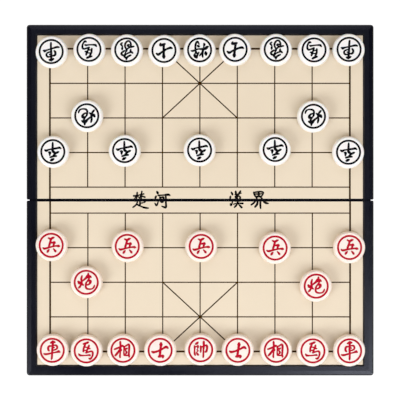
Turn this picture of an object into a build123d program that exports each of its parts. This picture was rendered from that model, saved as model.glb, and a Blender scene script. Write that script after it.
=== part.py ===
from build123d import *
from math import atan2, degrees
import os

# Folding magnetic xiangqi box, open and lying flat with its playing surface up and the men set out.
# Millimetres. X runs along the fold, Y away from the red player, Z up from the table, and the origin
# is under the middle of the fold. The two half shells are one moulding, used twice, half a turn apart.

# Box, lying open
box_width = 320.0  # along the fold
box_depth = 323.5  # over both halves
shell_height = 20.0  # table to the highest part of the rim
seam_gap = 0.9  # between the two halves
corner_radius = 2.75  # the four outer corners, in plan
seam_corner_radius = 1.5  # the corners at the ends of the fold, in plan

# Rim, on the three sides away from the fold
rim_width = 9.9
rim_rise = 1.4  # above the playing surface
rim_bevel = 1.3  # width of the steep bevel round the playing surface
rim_slope_width = 4.5  # outer part of the rim's top, which falls outwards
rim_slope_drop = 0.5
rim_edge_radius = 1.4

# Deck and walls
sheet_thickness = 0.5
plate_thickness = 0.5
deck_thickness = 1.9
side_wall = 2.4
fold_wall = 3.0
fold_lip = 0.5  # thin lip that closes the recess along the fold
fold_edge_radius = 2.6  # rolls round the hinge's pins as the halves turn
recess_fit = 0.05  # all round the plate and the sheet
sheet_corner_radius = 0.6
cavity_corner_radius = 1.5

# Stiffening ribs under the deck
rib_thickness = 1.4
rib_depth = 1.0
rib_spacing = 72.0

# Hinges: each is one link on two pins, so that the halves can turn back to back or mouth to mouth
hinge_inset = 60.0  # from the side of the box to the middle of a hinge
pivot_inset = 3.2  # from the middle of the fold to a pin
closed_gap = 0.4  # between the two mouths when the box is shut
link_width = 24.0
link_end_radius = 2.6
link_clearance = 0.3
pin_radius = 1.0
pin_running_gap = 0.06  # in the link
pin_press_gap = 0.02  # in the shell's cheeks
cheek_thickness = 3.0
hinge_block_wall = 2.8  # behind the link
hinge_block_roof = 2.6  # over the link
pin_loading_room = 2.0

# Closing magnets, two in each mouth
closing_magnet_spacing = 120.0
closing_magnet_radius = 4.0
closing_magnet_thickness = 2.0
closing_magnet_recess = 0.1
closing_magnet_gap = 0.05
magnet_boss_wall = 1.5
magnet_boss_bite = 1.0  # how far a boss runs into the outer wall

# Finger scoop in each outer wall, at the mouth
scoop_width = 34.0
scoop_height = 6.5
scoop_depth = 1.1

# Chessmen
man_radius = 14.8
man_height = 9.5
man_rim_gap = 0.3  # between the foot of a man on an outer crossing and the rim
man_belly_height = 3.4  # where a man is widest
man_shoulder_inset = 1.3  # where the side meets the top
man_shoulder_round = 1.2
man_ring_inset = 4.2  # from the side to the middle of the ring groove in the top
ring_width = 0.9
ring_depth = 0.3
cap_top = 1.8
base_cover_inset = 1.1  # from the foot's edge to the cover
base_cover_thickness = 1.0
base_cover_gap = 0.1
base_cover_lift = 0.2  # of the cover above the cap's foot
base_cover_seat = 0.6  # width of the step that the cover closes against
man_magnet_radius = 6.0
man_magnet_thickness = 3.0
man_magnet_gap = 0.1
man_magnet_sleeve = 1.0

# Playing lines: nine files and ten ranks, with the river between the two middle ranks
border_inset_side = 11.7  # from the rim to the outer files
border_inset_end = 12.3  # from the rim to the first and last ranks
river_width = 23.95

# Where each man stands: file from the left, rank from the river, and how far right and away of the
# crossing it was put down, in tenths of the room between two men side by side
black_men = {
    "soldier_1": (0, 1, 7, 1),
    "soldier_2": (2, 1, 0, 3),
    "soldier_3": (4, 1, -1, 4),
    "soldier_4": (6, 1, -1, 5),
    "soldier_5": (8, 1, -5, 0),
    "cannon_left": (1, 2, 0, 3),
    "cannon_right": (7, 2, 0, 2),
    "chariot_left": (0, 4, 4, -7),
    "horse_left": (1, 4, 4, -3),
    "elephant_left": (2, 4, 4, -4),
    "advisor_left": (3, 4, 3, -5),
    "general": (4, 4, -1, -4),
    "advisor_right": (5, 4, -5, -3),
    "elephant_right": (6, 4, 1, -3),
    "horse_right": (7, 4, 1, -4),
    "chariot_right": (8, 4, -4, -3),
}
red_men = {
    "soldier_1": (0, 1, 4, 5),
    "soldier_2": (2, 1, 5, 3),
    "soldier_3": (4, 1, 2, 3),
    "soldier_4": (6, 1, -1, 0),
    "soldier_5": (8, 1, -3, 1),
    "cannon_left": (1, 2, -1, 1),
    "cannon_right": (7, 2, 5, -6),
    "chariot_left": (0, 4, 6, 4),
    "horse_left": (1, 4, -1, 3),
    "elephant_left": (2, 4, -3, 4),
    "advisor_left": (3, 4, -4, 4),
    "general": (4, 4, 1, 5),
    "advisor_right": (5, 4, 0, 4),
    "elephant_right": (6, 4, 1, 4),
    "horse_right": (7, 4, -1, 3),
    "chariot_right": (8, 4, -3, 3),
}
file_count = 9
half_rank_count = 5

# Worked out from the sizes above, for the far half
half_depth = box_depth / 2
seam_face = seam_gap / 2
surface = shell_height - rim_rise
plate_top = surface - sheet_thickness
deck_top = plate_top - plate_thickness
deck_underside = deck_top - deck_thickness
cavity_start = seam_face + fold_wall
cavity_end = half_depth - side_wall
cavity_width = box_width - 2 * side_wall
opening_width = box_width - 2 * rim_width
opening_end = half_depth - rim_width
recess_start = seam_face + fold_lip
pivot_height = pivot_inset - closed_gap / 2
pocket_reach = pivot_inset + link_end_radius + link_clearance
pocket_height = pivot_height + link_end_radius + link_clearance
pocket_width = link_width + 2 * link_clearance
pin_length = pocket_width + 2 * cheek_thickness
boss_radius = closing_magnet_radius + closing_magnet_gap + magnet_boss_wall
boss_centre = cavity_end - boss_radius + magnet_boss_bite
magnet_pocket_depth = closing_magnet_recess + closing_magnet_thickness
hinge_centre = box_width / 2 - hinge_inset
hinge_sides = {"left": -hinge_centre, "right": hinge_centre}
sheet_width = opening_width - 2 * recess_fit
sheet_depth = opening_end - recess_start - 2 * recess_fit
file_spacing = (opening_width - 2 * border_inset_side) / (file_count - 1)
rank_spacing = (opening_end - border_inset_end - river_width / 2) / (half_rank_count - 1)
man_top = surface + man_height
man_foot_radius = border_inset_side - man_rim_gap
man_shoulder_radius = man_radius - man_shoulder_inset
ring_outer_radius = man_radius - man_ring_inset + ring_width / 2
ring_inner_radius = ring_outer_radius - ring_width
base_cover_radius = man_foot_radius - base_cover_inset
cap_ceiling = man_top - cap_top
cover_top = surface + base_cover_lift + base_cover_thickness
cap_bore_radius = base_cover_radius + base_cover_gap - base_cover_seat
sleeve_inner_radius = man_magnet_radius + man_magnet_gap

os.makedirs("parts", exist_ok=True)


def write(part, name):
    """Labels a finished piece and writes it as one STEP file."""
    part.label = name
    export_step(part, f"parts/{name}.step")


def write_both_halves(part, name):
    """Writes a piece of the far half, and the same piece turned half round for the near half."""
    write(part, f"far_{name}")
    write(part.rotate(Axis.Z, 180), f"near_{name}")


# ---------------------------------------------------------------- half shell

with BuildPart() as shell:
    # Outline of both halves together, with the rim's top falling away outwards
    wall_top = shell_height - rim_slope_drop
    with BuildSketch():
        RectangleRounded(box_width, box_depth, corner_radius)
    extrude(amount=wall_top)
    with BuildSketch(Plane.XY.offset(wall_top)):
        RectangleRounded(box_width, box_depth, corner_radius)
    extrude(amount=rim_slope_drop, taper=degrees(atan2(rim_slope_width, rim_slope_drop)))
    lower_rim_edges = shell.edges().group_by(Axis.Z)[2]
    fillet(lower_rim_edges, rim_edge_radius)

    # The far half of it, seen from the side, with the fold's lower edge rolled
    with BuildSketch(Plane.YZ) as side_view:
        with Locations(((seam_face + half_depth) / 2, shell_height / 2)):
            Rectangle(half_depth - seam_face, shell_height)
        fillet(side_view.vertices().group_by(Axis.Y)[0].sort_by(Axis.X)[0], fold_edge_radius)
    extrude(amount=box_width / 2, both=True, mode=Mode.INTERSECT)

    # Rounded ends of the fold
    with BuildSketch() as fold_ends:
        with Locations((0, (seam_face + box_depth) / 2)):
            Rectangle(box_width, box_depth - seam_face)
        fillet(fold_ends.vertices().group_by(Axis.Y)[0], seam_corner_radius)
    extrude(amount=shell_height, mode=Mode.INTERSECT)

    # Opening in the rim above the playing surface, bevelled on three sides and open across the fold
    with BuildSketch(Plane.XY.offset(surface)):
        Rectangle(opening_width, 2 * opening_end)
    extrude(amount=rim_rise, taper=-degrees(atan2(rim_bevel, rim_rise)), mode=Mode.SUBTRACT)

    # Recess for the steel plate and the printed sheet
    with BuildSketch(Plane.XY.offset(deck_top)) as recess:
        with Locations((0, (recess_start + opening_end) / 2)):
            RectangleRounded(opening_width, opening_end - recess_start, sheet_corner_radius)
    extrude(amount=surface - deck_top, mode=Mode.SUBTRACT)

    # Cavity that the men are kept in
    with BuildSketch():
        with Locations((0, (cavity_start + cavity_end) / 2)):
            RectangleRounded(cavity_width, cavity_end - cavity_start, cavity_corner_radius)
    extrude(amount=deck_underside, mode=Mode.SUBTRACT)

    # Ribs under the deck
    with BuildSketch(Plane.XY.offset(deck_underside - rib_depth)):
        with Locations((0, (cavity_start + cavity_end) / 2)):
            Rectangle(cavity_width, rib_thickness)
            with GridLocations(rib_spacing, 0, 3, 1):
                Rectangle(rib_thickness, cavity_end - cavity_start)
    extrude(amount=rib_depth)

    # Bosses for the closing magnets, against the outer wall
    with BuildSketch():
        with Locations((0, boss_centre)):
            with GridLocations(closing_magnet_spacing, 0, 2, 1):
                Circle(boss_radius)
    extrude(amount=deck_underside)
    with BuildSketch():
        with Locations((0, boss_centre)):
            with GridLocations(closing_magnet_spacing, 0, 2, 1):
                Circle(closing_magnet_radius + closing_magnet_gap)
    extrude(amount=magnet_pocket_depth, mode=Mode.SUBTRACT)

    # Hinge blocks behind the fold wall
    with BuildSketch():
        with Locations((0, (cavity_start + pocket_reach + hinge_block_wall) / 2)):
            with GridLocations(2 * hinge_centre, 0, 2, 1):
                Rectangle(pin_length, pocket_reach + hinge_block_wall - cavity_start)
    extrude(amount=pocket_height + hinge_block_roof)

    # Pockets that the links turn in, open to the fold and to the mouth
    with BuildSketch():
        with GridLocations(2 * hinge_centre, 0, 2, 1):
            Rectangle(pocket_width, 2 * pocket_reach)
    extrude(amount=pocket_height, mode=Mode.SUBTRACT)

    # Pin holes through the cheeks, run on outwards as the channels that the pins are loaded along
    for centre in hinge_sides.values():
        outward = 1 if centre > 0 else -1
        with BuildSketch(Plane.YZ.offset(centre - outward * pin_length / 2)):
            with Locations((pivot_inset, pivot_height)):
                Circle(pin_radius + pin_press_gap)
        extrude(amount=outward * (2 * pin_length + pin_loading_room), mode=Mode.SUBTRACT)

    # Finger scoop
    with BuildSketch(Plane.XZ.offset(-half_depth)):
        SlotOverall(scoop_width, 2 * scoop_height)
    extrude(amount=scoop_depth, mode=Mode.SUBTRACT)

write_both_halves(shell.part, "shell")

# ---------------------------------------------------------------- what the deck carries

with BuildPart() as steel_plate:
    with BuildSketch(Plane.XY.offset(deck_top)):
        with Locations((0, (recess_start + opening_end) / 2)):
            RectangleRounded(sheet_width, sheet_depth, sheet_corner_radius)
    extrude(amount=plate_thickness)
write_both_halves(steel_plate.part, "steel_plate")

with BuildPart() as board_sheet:
    with BuildSketch(Plane.XY.offset(plate_top)):
        with Locations((0, (recess_start + opening_end) / 2)):
            RectangleRounded(sheet_width, sheet_depth, sheet_corner_radius)
    extrude(amount=sheet_thickness)
write_both_halves(board_sheet.part, "board_sheet")

with BuildPart() as closing_magnets:
    with BuildSketch(Plane.XY.offset(closing_magnet_recess)):
        with Locations((0, boss_centre)):
            with GridLocations(closing_magnet_spacing, 0, 2, 1):
                Circle(closing_magnet_radius)
    extrude(amount=closing_magnet_thickness)
write_both_halves(closing_magnets.part, "closing_magnets")

# ---------------------------------------------------------------- hinges

with BuildPart() as hinge_pins:
    for centre in hinge_sides.values():
        with BuildSketch(Plane.YZ.offset(centre - pin_length / 2)):
            with Locations((pivot_inset, pivot_height)):
                Circle(pin_radius)
        extrude(amount=pin_length)
write_both_halves(hinge_pins.part, "hinge_pins")

for side, centre in hinge_sides.items():
    with BuildPart() as hinge_link:
        with BuildSketch(Plane.YZ.offset(centre - link_width / 2)):
            with Locations((0, pivot_height)):
                SlotCenterToCenter(2 * pivot_inset, 2 * link_end_radius)
            with Locations((-pivot_inset, pivot_height), (pivot_inset, pivot_height)):
                Circle(pin_radius + pin_running_gap, mode=Mode.SUBTRACT)
        extrude(amount=link_width)
    write(hinge_link.part, f"hinge_link_{side}")

# ---------------------------------------------------------------- chessmen, drawn at the origin

with BuildPart() as cap:
    with BuildSketch(Plane.XZ) as section:
        with BuildLine():
            foot = (man_foot_radius, surface)
            belly = (man_radius, surface + man_belly_height)
            shoulder = (man_shoulder_radius, man_top)
            Line(foot, belly)
            TangentArc(belly, shoulder, tangent=(0, 1))
            Polyline(
                shoulder,
                (ring_outer_radius, man_top),
                (ring_outer_radius, man_top - ring_depth),
                (ring_inner_radius, man_top - ring_depth),
                (ring_inner_radius, man_top),
                (0, man_top),
                (0, cap_ceiling),
                (sleeve_inner_radius, cap_ceiling),
                (sleeve_inner_radius, cover_top),
                (sleeve_inner_radius + man_magnet_sleeve, cover_top),
                (sleeve_inner_radius + man_magnet_sleeve, cap_ceiling),
                (cap_bore_radius, cap_ceiling),
                (cap_bore_radius, cover_top),
                (base_cover_radius + base_cover_gap, cover_top),
                (base_cover_radius + base_cover_gap, surface),
                foot,
            )
        make_face()
        fillet(section.vertices().sort_by_distance(shoulder)[0], man_shoulder_round)
    revolve(axis=Axis.Z)

with BuildPart() as man_magnet:
    with BuildSketch(Plane.XY.offset(cover_top)):
        Circle(man_magnet_radius)
    extrude(amount=man_magnet_thickness)

with BuildPart() as base_cover:
    with BuildSketch(Plane.XY.offset(cover_top - base_cover_thickness)):
        Circle(base_cover_radius)
    extrude(amount=base_cover_thickness)

for colour, men, away in (("black", black_men, 1), ("red", red_men, -1)):
    for man, (file, rank, tenths_right, tenths_away) in men.items():
        tenth = (file_spacing - 2 * man_radius) / 10
        across = (file - (file_count - 1) / 2) * file_spacing + tenths_right * tenth
        along = away * (river_width / 2 + rank * rank_spacing) + tenths_away * tenth
        stand = Location((across, along, 0))
        pieces = [piece.solid().moved(stand) for piece in (cap, man_magnet, base_cover)]
        write(Compound(children=pieces), f"{colour}_{man}")
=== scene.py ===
"""Looks of a folding magnetic xiangqi box, lying open with its men set out.

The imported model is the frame. The half shells, hinges, pins, plates and magnets stay as they are
and get finishes. The printed sheets and the men are built here, round the same sizes, because what
is printed or engraved on them is part of their meshes. Lengths are metres unless a name ends in _mm.
"""

import logging
from dataclasses import dataclass, field
from enum import Enum
from math import cos, pi, radians, sin, sqrt
from typing import Any, Iterator, Sequence

import bmesh
import bpy
import numpy as np
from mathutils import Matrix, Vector
from mathutils.geometry import delaunay_2d_cdt

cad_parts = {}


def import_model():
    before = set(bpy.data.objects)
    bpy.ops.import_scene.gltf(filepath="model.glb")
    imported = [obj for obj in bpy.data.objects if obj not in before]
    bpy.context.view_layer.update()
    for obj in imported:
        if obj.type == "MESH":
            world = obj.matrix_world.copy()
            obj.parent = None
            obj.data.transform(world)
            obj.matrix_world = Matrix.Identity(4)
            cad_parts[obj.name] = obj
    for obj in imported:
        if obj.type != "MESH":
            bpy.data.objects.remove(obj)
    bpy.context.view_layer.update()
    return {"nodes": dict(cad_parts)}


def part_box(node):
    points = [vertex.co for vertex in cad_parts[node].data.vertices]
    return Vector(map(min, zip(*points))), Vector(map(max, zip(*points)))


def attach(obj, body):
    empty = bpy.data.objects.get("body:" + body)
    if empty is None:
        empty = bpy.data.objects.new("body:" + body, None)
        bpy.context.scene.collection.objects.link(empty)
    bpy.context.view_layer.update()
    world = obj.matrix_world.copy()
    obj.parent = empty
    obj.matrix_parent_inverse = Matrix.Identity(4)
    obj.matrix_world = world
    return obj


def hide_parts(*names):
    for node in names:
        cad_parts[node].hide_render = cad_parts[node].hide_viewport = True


log = logging.getLogger("xiangqi_box")

MM = 0.001
WHITE = (1.0, 1.0, 1.0)
BLACK = (0.0, 0.0, 0.0)
CHARACTER_SQUARE = 100.0  # side of the square that a character's strokes are given on
CUT_CLOSENESS_MM = 1e-4  # points as close as this become one when a face is cut up
WELD_DISTANCE = 1e-7  # corners as close as this become one when a mesh is built
SHARP_ANGLE = radians(30.0)  # faces that meet at more than this don't shade as one
# The black ink also paints the shade along the fold, besides the river's words
BARE, LINE_INK, BLACK_INK_AND_FOLD_SHADE = range(3)  # the finishes of a printed sheet
PLASTIC, PAINT = range(2)  # the finishes of a man

Colour = tuple[float, float, float]
Place = tuple[float, float, float]
Point = tuple[float, float]  # of a profile: radius and height
Span = tuple[float, float]  # what becomes 0 and what becomes 1
Loop = np.ndarray  # corners of a closed line, one row each
Stroke = tuple[tuple[float, float, float], ...]  # across, up and width at each point


# ---------------------------------------------------------------- nodes


class Bench:
    """Adds nodes to one material's or world's tree."""

    def __init__(self, tree: bpy.types.NodeTree) -> None:
        """Starts on an empty tree.

        Args:
            tree: The node tree to fill.
        """
        self.tree = tree
        tree.nodes.clear()

    def node(
        self,
        kind: str,
        settings: dict[str, Any] | None = None,
        sockets: dict[str | int, Any] | None = None,
    ) -> bpy.types.Node:
        """Adds a node, with its settings first and then its sockets.

        Args:
            kind: The node's type.
            settings: Its own properties. "stops" holds a ramp's places and colours.
            sockets: A value, or a link, for each input by name or number.

        Returns:
            The new node.
        """
        made = self.tree.nodes.new(kind)
        for name, value in (settings or {}).items():
            if name == "stops":
                self._set_stops(made.color_ramp, value)
            else:
                setattr(made, name, value)
        for name, value in (sockets or {}).items():
            if isinstance(value, Value):
                value = value.socket
            if isinstance(value, bpy.types.NodeSocket):
                self.tree.links.new(value, made.inputs[name])
            else:
                made.inputs[name].default_value = value
        return made

    @staticmethod
    def _set_stops(ramp: bpy.types.ColorRamp, stops: Sequence[tuple[float, Colour]]) -> None:
        """Gives a ramp its stops.

        Args:
            ramp: The ramp, with its two first stops.
            stops: Each stop's place and colour.
        """
        while len(ramp.elements) < len(stops):
            ramp.elements.new(0.5)
        for element, (place, colour) in zip(ramp.elements, stops):
            element.position = place
            element.color = (*colour, 1.0)

    def blend(self, share: "Value", first: Colour, second: Colour) -> bpy.types.NodeSocket:
        """Mixes two colours. A Mix node has inputs 6 and 7 and output 2 for colours.

        Args:
            share: How much of the second colour there is.
            first: The colour where share is 0.
            second: The colour where share is 1.

        Returns:
            The mixed colour.
        """
        sockets = {0: share, 6: (*first, 1.0), 7: (*second, 1.0)}
        return self.node("ShaderNodeMix", {"data_type": "RGBA"}, sockets).outputs[2]

    def relief(self, height: "Value", depth: float) -> bpy.types.NodeSocket:
        """Raises a surface by a pattern.

        Args:
            height: The pattern, from 0 to 1.
            depth: How high 1 stands over 0.

        Returns:
            The surface's normal.
        """
        sockets = {"Strength": 1.0, "Distance": depth, "Height": height}
        return self.node("ShaderNodeBump", None, sockets).outputs[0]


class Value:
    """A number that changes over a surface. Arithmetic on it adds Math nodes."""

    def __init__(self, bench: Bench, socket: bpy.types.NodeSocket) -> None:
        """Wraps a socket.

        Args:
            bench: Where new nodes go.
            socket: The output that holds the number.
        """
        self.bench = bench
        self.socket = socket

    def _math(self, operation: str, first: Any, second: Any) -> "Value":
        """Adds a Math node.

        Args:
            operation: What it does.
            first: Its first number.
            second: Its second number.

        Returns:
            The result.
        """
        made = self.bench.node("ShaderNodeMath", {"operation": operation}, {0: first, 1: second})
        return Value(self.bench, made.outputs[0])

    def __add__(self, other: Any) -> "Value":
        """Adds."""
        return self._math("ADD", self, other)

    def __sub__(self, other: Any) -> "Value":
        """Subtracts."""
        return self._math("SUBTRACT", self, other)

    def __rsub__(self, other: Any) -> "Value":
        """Subtracts, from the right."""
        return self._math("SUBTRACT", other, self)

    def __mul__(self, other: Any) -> "Value":
        """Multiplies."""
        return self._math("MULTIPLY", self, other)

    __radd__ = __add__
    __rmul__ = __mul__

    def between(self, low: float, high: float) -> "Value":
        """Maps the stretch from low to high onto 0 to 1, and holds it there.

        Args:
            low: What becomes 0.
            high: What becomes 1.

        Returns:
            The mapped value.
        """
        sockets = {"Value": self, "From Min": low, "From Max": high}
        made = self.bench.node("ShaderNodeMapRange", {"clamp": True}, sockets)
        return Value(self.bench, made.outputs[0])


@dataclass(frozen=True)
class Pattern:
    """A cloudy pattern that lies on its own object, round a half."""

    size: float  # of its patches
    detail: float = 2.0  # how many finer layers it has
    seed: float = 0.0  # picks one pattern out of many
    factors: tuple[float, float, float] | None = None  # scale the place, so that it runs one way

    def on(self, bench: Bench) -> Value:
        """Adds the pattern.

        Args:
            bench: Where the nodes go.

        Returns:
            The pattern's value.
        """
        place = bench.node("ShaderNodeTexCoord").outputs["Object"]
        if self.factors is not None:
            scaled = {0: place, 1: self.factors}
            place = bench.node("ShaderNodeVectorMath", {"operation": "MULTIPLY"}, scaled).outputs[0]
        sockets = {"Vector": place, "W": self.seed, "Scale": 1.0 / self.size, "Detail": self.detail}
        made = bench.node("ShaderNodeTexNoise", {"noise_dimensions": "4D"}, sockets)
        return Value(bench, made.outputs[0])


# ---------------------------------------------------------------- finishes


@dataclass(frozen=True)
class Finish:
    """What all finishes share: a name, and one Principled shader whose sockets they fill."""

    name: str

    def sockets(self, bench: Bench) -> dict[str, Any]:
        """Builds what the shader gets. What is the same all over the surface is a plain value.

        Args:
            bench: Where the nodes go.

        Returns:
            A value, or a link, for each socket.
        """
        return {}

    def material(self) -> bpy.types.Material:
        """Makes a material of the finish.

        Returns:
            The new material.
        """
        made = bpy.data.materials.new(self.name)
        made.use_nodes = True
        bench = Bench(made.node_tree)
        shader = bench.node("ShaderNodeBsdfPrincipled", None, self.sockets(bench))
        bench.node("ShaderNodeOutputMaterial", None, {"Surface": shader.outputs[0]})
        return made


@dataclass(frozen=True)
class MouldedPlastic(Finish):
    """Blue-black plastic from a lightly sparked mould: satin, with a fine even grain."""

    colour: Colour = (0.0010, 0.0013, 0.0050)
    cloud: Colour = (0.0018, 0.0023, 0.0070)
    cloud_span: Span = (0.35, 0.75)
    ripple: Pattern = Pattern(16.0 * MM)
    ripple_depth: float = 0.012 * MM
    grain: Pattern = Pattern(0.35 * MM, seed=3.0)
    grain_depth: float = 0.004 * MM
    handled: Pattern = Pattern(38.0 * MM, detail=4.0, seed=7.0)
    handled_span: Span = (0.42, 0.72)
    roughness: float = 0.22
    grain_roughness: float = 0.08
    handled_polish: float = 0.05  # takes from the roughness

    def sockets(self, bench: Bench) -> dict[str, Any]:
        """Builds the clouding, the grain and the mould's faint ripple.

        Args:
            bench: Where the nodes go.

        Returns:
            A value, or a link, for each socket.
        """
        ripple, grain = self.ripple.on(bench), self.grain.on(bench)
        handled = self.handled.on(bench).between(*self.handled_span)
        height = grain + ripple * (self.ripple_depth / self.grain_depth)
        polish = self.handled_polish * handled
        return {
            "Base Color": bench.blend(ripple.between(*self.cloud_span), self.colour, self.cloud),
            "IOR": 1.5,
            "Roughness": self.roughness + self.grain_roughness * grain - polish,
            "Normal": bench.relief(height, self.grain_depth),
        }


@dataclass(frozen=True)
class PrintedSheet(Finish):
    """A printed sheet under a matt film: bare ground, or ink laid on it."""

    colour: Colour = (0.717, 0.609, 0.453)
    patch: Colour = (0.743, 0.637, 0.478)
    patch_span: Span = (0.3, 0.7)
    clouds: Pattern = Pattern(45.0 * MM, detail=3.0, seed=1.0)
    fibres: Pattern = Pattern(0.6 * MM, detail=3.0, seed=2.0, factors=(0.25, 1.0, 1.0))
    fibre_share: float = 0.35  # of what makes the patches
    fibre_height: float = 0.5  # against the film's orange peel
    peel: Pattern = Pattern(0.9 * MM, seed=5.0)
    peel_depth: float = 0.004 * MM
    shine: float = 0.4
    roughness: float = 0.42
    peel_roughness: float = 0.1

    def sockets(self, bench: Bench) -> dict[str, Any]:
        """Builds the paper's clouds and fibres, and the film's fine orange peel.

        Args:
            bench: Where the nodes go.

        Returns:
            A value, or a link, for each socket.
        """
        clouds, fibres, peel = (each.on(bench) for each in (self.clouds, self.fibres, self.peel))
        share = clouds * (1.0 - self.fibre_share) + fibres * self.fibre_share
        return {
            "Base Color": bench.blend(share.between(*self.patch_span), self.colour, self.patch),
            "IOR": 1.45,
            "Specular IOR Level": self.shine,
            "Roughness": self.roughness + self.peel_roughness * peel,
            "Normal": bench.relief(peel + self.fibre_height * fibres, self.peel_depth),
        }


@dataclass(frozen=True)
class ChessmanPlastic(Finish):
    """Ivory-white cast plastic, a little translucent, with faint flow marks."""

    colour: Colour = (0.838, 0.822, 0.793)
    flow: Colour = (0.868, 0.852, 0.826)
    flow_span: Span = (0.35, 0.65)
    marks: Pattern = Pattern(9.0 * MM, detail=3.0, seed=4.0, factors=(1.0, 0.35, 1.0))
    tumbled: Pattern = Pattern(0.8 * MM, seed=6.0)
    tumbled_depth: float = 0.003 * MM
    handled: Pattern = Pattern(5.0 * MM, detail=4.0, seed=8.0)
    handled_span: Span = (0.4, 0.7)
    roughness: float = 0.26
    tumbled_roughness: float = 0.06
    handled_roughness: float = 0.08

    def sockets(self, bench: Bench) -> dict[str, Any]:
        """Builds the flow marks, the tumbled surface and its handling marks.

        Args:
            bench: Where the nodes go.

        Returns:
            A value, or a link, for each socket.
        """
        marks, tumbled = self.marks.on(bench), self.tumbled.on(bench)
        handled = self.handled.on(bench).between(*self.handled_span)
        wear = self.handled_roughness * handled
        return {
            "Base Color": bench.blend(marks.between(*self.flow_span), self.colour, self.flow),
            "IOR": 1.49,
            "Subsurface Weight": 0.45,
            "Subsurface Radius": (1.0, 0.8, 0.65),
            "Subsurface Scale": 4.0 * MM,
            "Roughness": self.roughness + self.tumbled_roughness * tumbled + wear,
            "Normal": bench.relief(tumbled, self.tumbled_depth),
        }


@dataclass(frozen=True)
class GroovePaint(Finish):
    """Enamel that fills an engraved line: glossy, and a little thinner in places."""

    colour: Colour = (0.001, 0.001, 0.002)
    thin: Colour = (0.004, 0.004, 0.007)
    thin_span: Span = (0.45, 0.8)
    cover: Pattern = Pattern(2.2 * MM, detail=4.0, seed=9.0)
    skin: Pattern = Pattern(0.7 * MM, detail=1.0, seed=10.0)
    skin_depth: float = 0.02 * MM
    roughness: float = 0.3
    cover_roughness: float = 0.2

    def sockets(self, bench: Bench) -> dict[str, Any]:
        """Builds the paint's uneven cover and its wavy skin.

        Args:
            bench: Where the nodes go.

        Returns:
            A value, or a link, for each socket.
        """
        cover, skin = self.cover.on(bench), self.skin.on(bench)
        return {
            "Base Color": bench.blend(cover.between(*self.thin_span), self.colour, self.thin),
            "IOR": 1.48,
            "Specular IOR Level": 0.08,
            "Roughness": self.roughness + self.cover_roughness * cover,
            "Normal": bench.relief(skin, self.skin_depth),
        }


@dataclass(frozen=True)
class Metal(Finish):
    """Bare or plated metal, with fine lines from rolling or turning."""

    colour: Colour = (0.55, 0.56, 0.58)
    dulled: float = 0.7  # of the colour, under a smudge
    line_width: float = 0.25 * MM
    line_length: float = 20.0  # against the lines' width
    line_depth: float = 0.003 * MM
    smudge: Pattern = Pattern(6.0 * MM, detail=4.0, seed=12.0)
    smudge_span: Span = (0.4, 0.75)
    smudge_share: float = 0.6
    smudge_veil: float = 0.08  # takes from the metallic look
    roughness: float = 0.3
    line_roughness: float = 0.12
    smudge_roughness: float = 0.1

    def sockets(self, bench: Bench) -> dict[str, Any]:
        """Builds the lines and the smudges.

        Args:
            bench: Where the nodes go.

        Returns:
            A value, or a link, for each socket.
        """
        factors = (1.0 / self.line_length, 1.0, 1.0)
        lines = Pattern(self.line_width, seed=11.0, factors=factors).on(bench)
        smudge = self.smudge.on(bench).between(*self.smudge_span)
        dulled = tuple(self.dulled * part for part in self.colour)
        film = self.smudge_roughness * smudge
        return {
            "Base Color": bench.blend(self.smudge_share * smudge, self.colour, dulled),
            "Metallic": 1.0 - self.smudge_veil * smudge,
            "Roughness": self.roughness + self.line_roughness * lines + film,
            "Normal": bench.relief(lines, self.line_depth),
        }


@dataclass(frozen=True)
class StagePaper(Finish):
    """Matt paper for the stage. White paper is lit from behind, so that it stays evenly white."""

    glow: float = 0.0

    def sockets(self, bench: Bench) -> dict[str, Any]:
        """Makes the paper clear from behind, so that it hides nothing from a camera below it.

        Args:
            bench: Where the nodes go.

        Returns:
            A value, or a link, for each socket.
        """
        behind = Value(bench, bench.node("ShaderNodeNewGeometry").outputs["Backfacing"])
        return {
            "Base Color": (*BLACK, 1.0),
            "Roughness": 1.0,
            "Specular IOR Level": 0.0,
            "Emission Color": (*WHITE, 1.0),
            "Emission Strength": self.glow,
            "Alpha": 1.0 - behind,
        }


# ---------------------------------------------------------------- brush characters


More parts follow.
